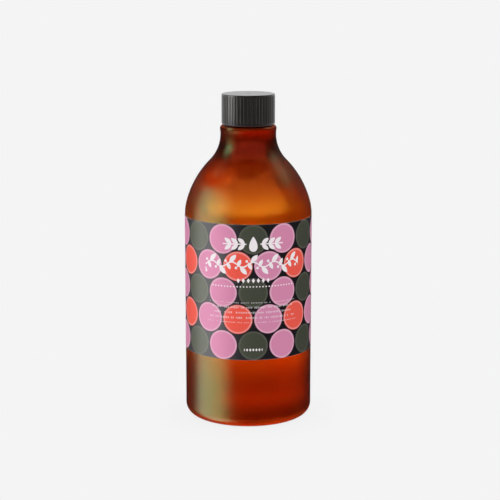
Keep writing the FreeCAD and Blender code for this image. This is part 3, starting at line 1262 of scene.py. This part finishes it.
def flag_mesh(studio):
    """Curved card left of the neck and cap, with a slot open at its top."""
    mesh = bmesh.new()
    turns = [math.radians(FLAG_START + FLAG_STEP * step) for step in range(FLAG_WIDTH + 1)]
    around = [Vector((math.sin(turn), -math.cos(turn), 0)) * studio.flag_distance for turn in turns]
    low, middle, high = (
        [mesh.verts.new((place.x, place.y, level)) for place in around]
        for level in (studio.flag_bottom, studio.flag_slot, studio.flag_top)
    )
    for index in range(FLAG_WIDTH):
        after = index + 1
        mesh.faces.new((low[index], low[after], middle[after], middle[index]))
        if index not in FLAG_SLOT:
            mesh.faces.new((middle[index], middle[after], high[after], high[index]))
    return mesh


def studio_light(studio):
    """World light by direction; matt, mirroring and see-through surfaces get their own share."""
    world = bpy.data.worlds.new("soft_studio")
    tree = blank_tree(world)
    direction = tree.nodes.new("ShaderNodeTexCoord")
    across, along, up = parts(Wire(direction.outputs["Generated"]))
    turn = across.math("ARCTAN2", -along) * math.degrees(1)
    rise = up.math("ARCSINE") * math.degrees(1)
    path = tree.nodes.new("ShaderNodeLightPath")
    glossy = Wire(path.outputs["Is Glossy Ray"])
    through = Wire(path.outputs["Is Transmission Ray"])
    matt = Wire(path.outputs["Is Diffuse Ray"])
    light = glossy * mirrored_light(turn, rise, studio) + matt * studio.fill_light
    light = through * light_through(turn, rise, studio) + (1 - through) * light + studio.room
    grey = tree.nodes.new("ShaderNodeCombineColor")
    for place in grey.inputs:
        feed(place, light)
    shown = Wire(path.outputs["Is Camera Ray"]).between(Wire(grey.outputs[0]), studio.floor_colour)
    background = tree.nodes.new("ShaderNodeBackground")
    feed(background.inputs["Color"], shown)
    output = tree.nodes.new("ShaderNodeOutputWorld")
    tree.links.new(background.outputs[0], output.inputs["Surface"])
    return world


class MakeStudio(bpy.types.Operator):
    """Build the pale floor, the soft light and the camera"""

    bl_idname = "oil_bottle.make_studio"
    bl_label = "Studio"

    def execute(self, context):
        studio = context.scene.oil_bottle.studio
        half = studio.floor_size / 2
        mesh = bmesh.new()
        corners = [(-half, -half, 0), (half, -half, 0), (half, half, 0), (-half, half, 0)]
        mesh.faces.new([mesh.verts.new(corner) for corner in corners])
        floor = finished_piece("studio_floor", mesh, [pale_floor(studio)])
        flag = finished_piece("studio_flag", flag_mesh(studio), [flag_card()])
        context.scene.world = studio_light(studio)
        context.scene.view_settings.view_transform = "Standard"
        lens = bpy.data.cameras.new("studio_camera")
        lens.lens = studio.lens
        lens.sensor_width = 36
        lens.clip_end = studio.floor_size
        camera = bpy.data.objects.new("studio_camera", lens)
        camera.location = (studio.camera_side, -studio.camera_distance, studio.camera_height)
        aim = Vector((studio.camera_side, 0, studio.aim_height)) - camera.location
        camera.rotation_euler = aim.to_track_quat("-Z", "Y").to_euler()
        context.scene.collection.objects.link(camera)
        context.scene.camera = camera
        return {"FINISHED"}


# --- Panel and registration -------------------------------------------------------------
OPERATORS = (MakeBottle, MakeOil, MakeLabel, MakePourInsert, MakeCapLiner, MakeScrewCap, MakeStudio)
GROUPS = (
    OilBottleBody,
    OilBottleNeck,
    OilBottleCap,
    OilBottleLabel,
    OilBottleFinish,
    OilBottleStudio,
    OilBottleSettings,
)


class OilBottlePanel(bpy.types.Panel):
    """Lists the sizes, the colours and the build steps."""

    bl_idname = "VIEW3D_PT_oil_bottle"
    bl_label = "Oil Bottle"
    bl_space_type = "VIEW_3D"
    bl_region_type = "UI"
    bl_category = "Oil Bottle"

    def draw(self, context):
        wanted = context.scene.oil_bottle
        for group in ("body", "neck", "cap", "label", "finish", "studio"):
            box = self.layout.box()
            box.label(text=group.capitalize())
            values = getattr(wanted, group)
            for name in values.__annotations__:
                box.prop(values, name)
        for operator in OPERATORS:
            self.layout.operator(operator.bl_idname)


CLASSES = (*GROUPS, *OPERATORS, OilBottlePanel)


def register():
    for made in CLASSES:
        bpy.utils.register_class(made)
    bpy.types.Scene.oil_bottle = bpy.props.PointerProperty(type=OilBottleSettings)


def unregister():
    del bpy.types.Scene.oil_bottle
    for made in reversed(CLASSES):
        bpy.utils.unregister_class(made)


def main():
    register()
    for operator in OPERATORS:
        group, name = operator.bl_idname.split(".")
        getattr(getattr(bpy.ops, group), name)()
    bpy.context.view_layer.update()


if __name__ == "__main__":
    main()
